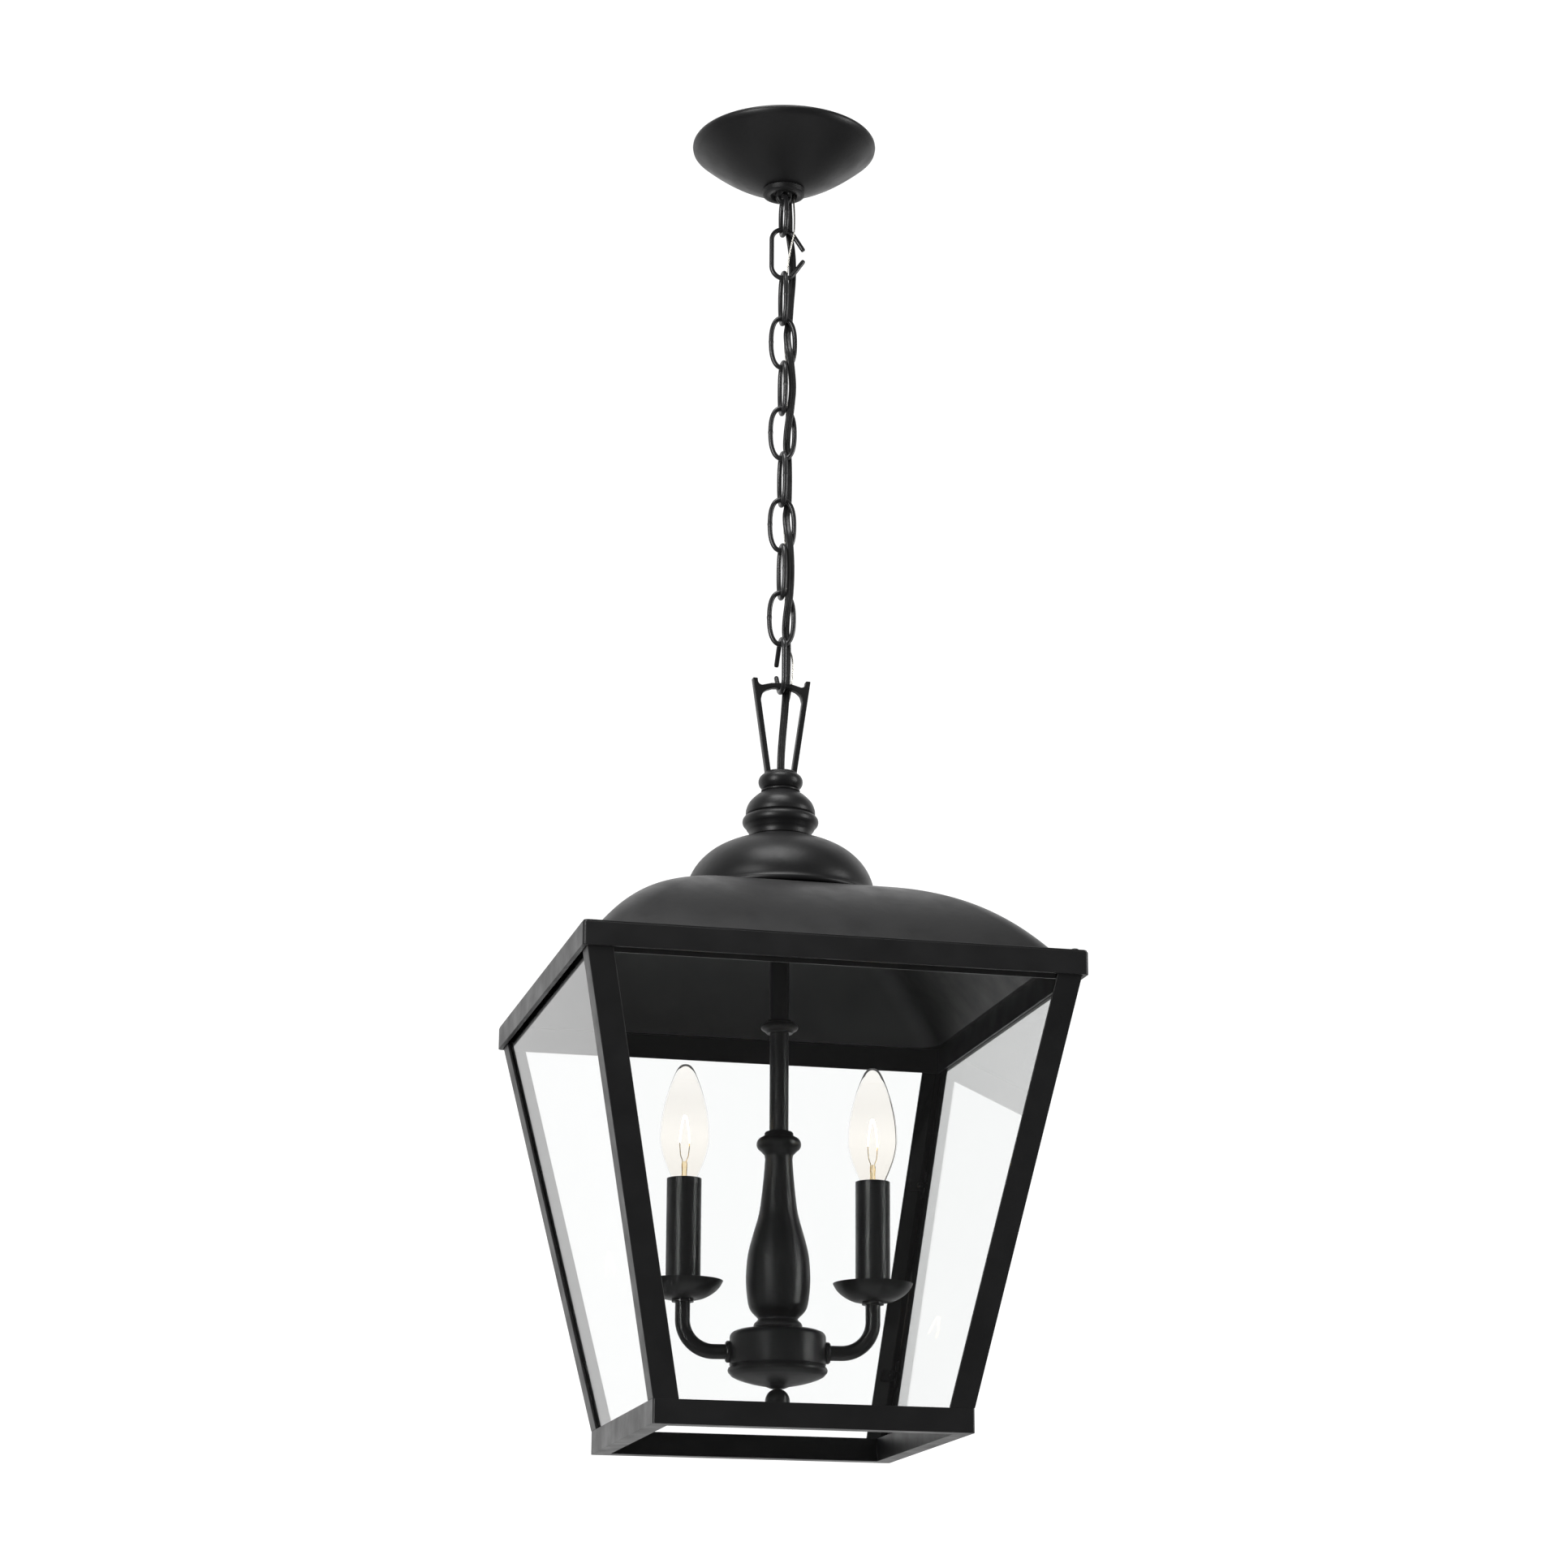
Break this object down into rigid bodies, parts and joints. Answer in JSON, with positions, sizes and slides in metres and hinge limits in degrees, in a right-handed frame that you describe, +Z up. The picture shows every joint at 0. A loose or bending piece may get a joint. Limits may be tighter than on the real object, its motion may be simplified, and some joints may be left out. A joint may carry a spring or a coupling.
{
  "type": "hanging lantern",
  "caption": "Square tapering glass lantern with a domed roof and a two-candle cluster, hung by a chain from a round ceiling canopy.",
  "frame": {"origin": "centre of the ceiling plane, in the middle of the mounting strap", "axes": "+Z up; +X is the right-hand side, seen from the front, with the right candle 8.8 degrees towards the front of it; -Y is the front"},
  "size_m": [0.3174, 0.3174, 0.8943],
  "materials": {
    "black_metal": "satin black powder coat with a fine grain",
    "black_casting": "satin black powder coat on castings and turnings",
    "zinc": "zinc plate",
    "brass": "plain brass lamp base",
    "lead_skin": "black flat twin lead",
    "pane_glass": "clear flat glass",
    "socket_plastic": "dark phenolic",
    "bulb_glass": "clear blown glass",
    "filament": "glass post and glowing wire"
  },
  "bodies": {
    "ceiling": {"mounting_strap": "zinc", "strap_nipple": "zinc", "strap_nuts": "zinc", "collar_loop": "black_metal", "supply_cord": "lead_skin", "ground_wire": "zinc"},
    "canopy": {"canopy": "black_metal"},
    "collar_ring": {"collar_ring": "black_metal"},
    "link_01": {"link_01": "black_metal"},
    "link_02": {"link_02": "black_metal"},
    "link_03": {"link_03": "black_metal"},
    "link_04": {"link_04": "black_metal"},
    "link_05": {"link_05": "black_metal"},
    "link_06": {"link_06": "black_metal"},
    "link_07": {"link_07": "black_metal"},
    "link_08": {"link_08": "black_metal"},
    "link_09": {"link_09": "black_metal"},
    "link_10": {"link_10": "black_metal"},
    "link_11": {"link_11": "black_metal"},
    "lantern": {"stirrup": "black_metal", "finial_collar": "black_casting", "cap_turning": "black_casting", "cap_dome": "black_metal", "roof_shell": "black_metal", "roof_screws": "black_metal", "top_band": "black_metal", "top_rail": "black_metal", "leg_front_left": "black_metal", "leg_front_right": "black_metal", "leg_back_left": "black_metal", "leg_back_right": "black_metal", "bottom_frame": "black_casting", "pane_front": "pane_glass", "pane_back": "pane_glass", "pane_left": "pane_glass", "pane_right": "pane_glass", "glass_clips": "black_metal", "clip_screws": "black_metal", "stem_tube": "black_metal", "stem_ring": "black_casting", "vase_column": "black_casting", "cluster_body": "black_metal", "cluster_cap": "black_casting", "ball_finial": "black_casting", "arm_left": "black_metal", "arm_right": "black_metal", "arm_nuts": "black_metal", "bobeche_left": "black_metal", "bobeche_right": "black_metal", "bobeche_washers": "black_metal", "sleeve_left": "black_metal", "sleeve_right": "black_metal", "socket_left": "socket_plastic", "socket_right": "socket_plastic"},
    "bulb_left": {"bulb_left": "bulb_glass", "filament_left": "filament", "bulb_base_left": "brass"},
    "bulb_right": {"bulb_right": "bulb_glass", "filament_right": "filament", "bulb_base_right": "brass"}
  },
  "joints": [
    {"name": "canopy_slide", "type": "slide", "parent": "ceiling", "child": "canopy", "axis": [0, 0, 1], "range_m": [-0.03, 0]},
    {"name": "ring_turn", "type": "hinge", "parent": "canopy", "child": "collar_ring", "pos_m": [0, 0, -0.036], "axis": [0, 0, 1], "continuous": true},
    {"name": "link_01_swing", "type": "hinge", "parent": "ceiling", "child": "link_01", "pos_m": [0, 0, -0.04325], "axis": [1, 0, 0], "range_deg": [-4, 4], "deforming": ["supply_cord", "ground_wire"]},
    {"name": "link_02_swing", "type": "hinge", "parent": "link_01", "child": "link_02", "pos_m": [0, 0, -0.06735], "axis": [0, 1, 0], "range_deg": [-10, 10]},
    {"name": "link_03_swing", "type": "hinge", "parent": "link_02", "child": "link_03", "pos_m": [0, 0, -0.10055], "axis": [1, 0, 0], "range_deg": [-10, 10]},
    {"name": "link_04_swing", "type": "hinge", "parent": "link_03", "child": "link_04", "pos_m": [0, 0, -0.13375], "axis": [0, 1, 0], "range_deg": [-10, 10]},
    {"name": "link_05_swing", "type": "hinge", "parent": "link_04", "child": "link_05", "pos_m": [0, 0, -0.16695], "axis": [1, 0, 0], "range_deg": [-10, 10]},
    {"name": "link_06_swing", "type": "hinge", "parent": "link_05", "child": "link_06", "pos_m": [0, 0, -0.20015], "axis": [0, 1, 0], "range_deg": [-10, 10]},
    {"name": "link_07_swing", "type": "hinge", "parent": "link_06", "child": "link_07", "pos_m": [0, 0, -0.23335], "axis": [1, 0, 0], "range_deg": [-10, 10]},
    {"name": "link_08_swing", "type": "hinge", "parent": "link_07", "child": "link_08", "pos_m": [0, 0, -0.26655], "axis": [0, 1, 0], "range_deg": [-10, 10]},
    {"name": "link_09_swing", "type": "hinge", "parent": "link_08", "child": "link_09", "pos_m": [0, 0, -0.29975], "axis": [1, 0, 0], "range_deg": [-10, 10]},
    {"name": "link_10_swing", "type": "hinge", "parent": "link_09", "child": "link_10", "pos_m": [0, 0, -0.33295], "axis": [0, 1, 0], "range_deg": [-10, 10]},
    {"name": "link_11_swing", "type": "hinge", "parent": "link_10", "child": "link_11", "pos_m": [0, 0, -0.36615], "axis": [1, 0, 0], "range_deg": [-10, 10]},
    {"name": "lantern_swing", "type": "hinge", "parent": "link_11", "child": "lantern", "pos_m": [0, 0, -0.39935], "axis": [0, 1, 0], "range_deg": [-10, 10]},
    {"name": "bulb_left_turn", "type": "hinge", "parent": "lantern", "child": "bulb_left", "pos_m": [-0.05979, 0.00926, -0.75396], "axis": [0, 0, 1], "continuous": true},
    {"name": "bulb_right_turn", "type": "hinge", "parent": "lantern", "child": "bulb_right", "pos_m": [0.05979, -0.00926, -0.75396], "axis": [0, 0, 1], "continuous": true}
  ]
}
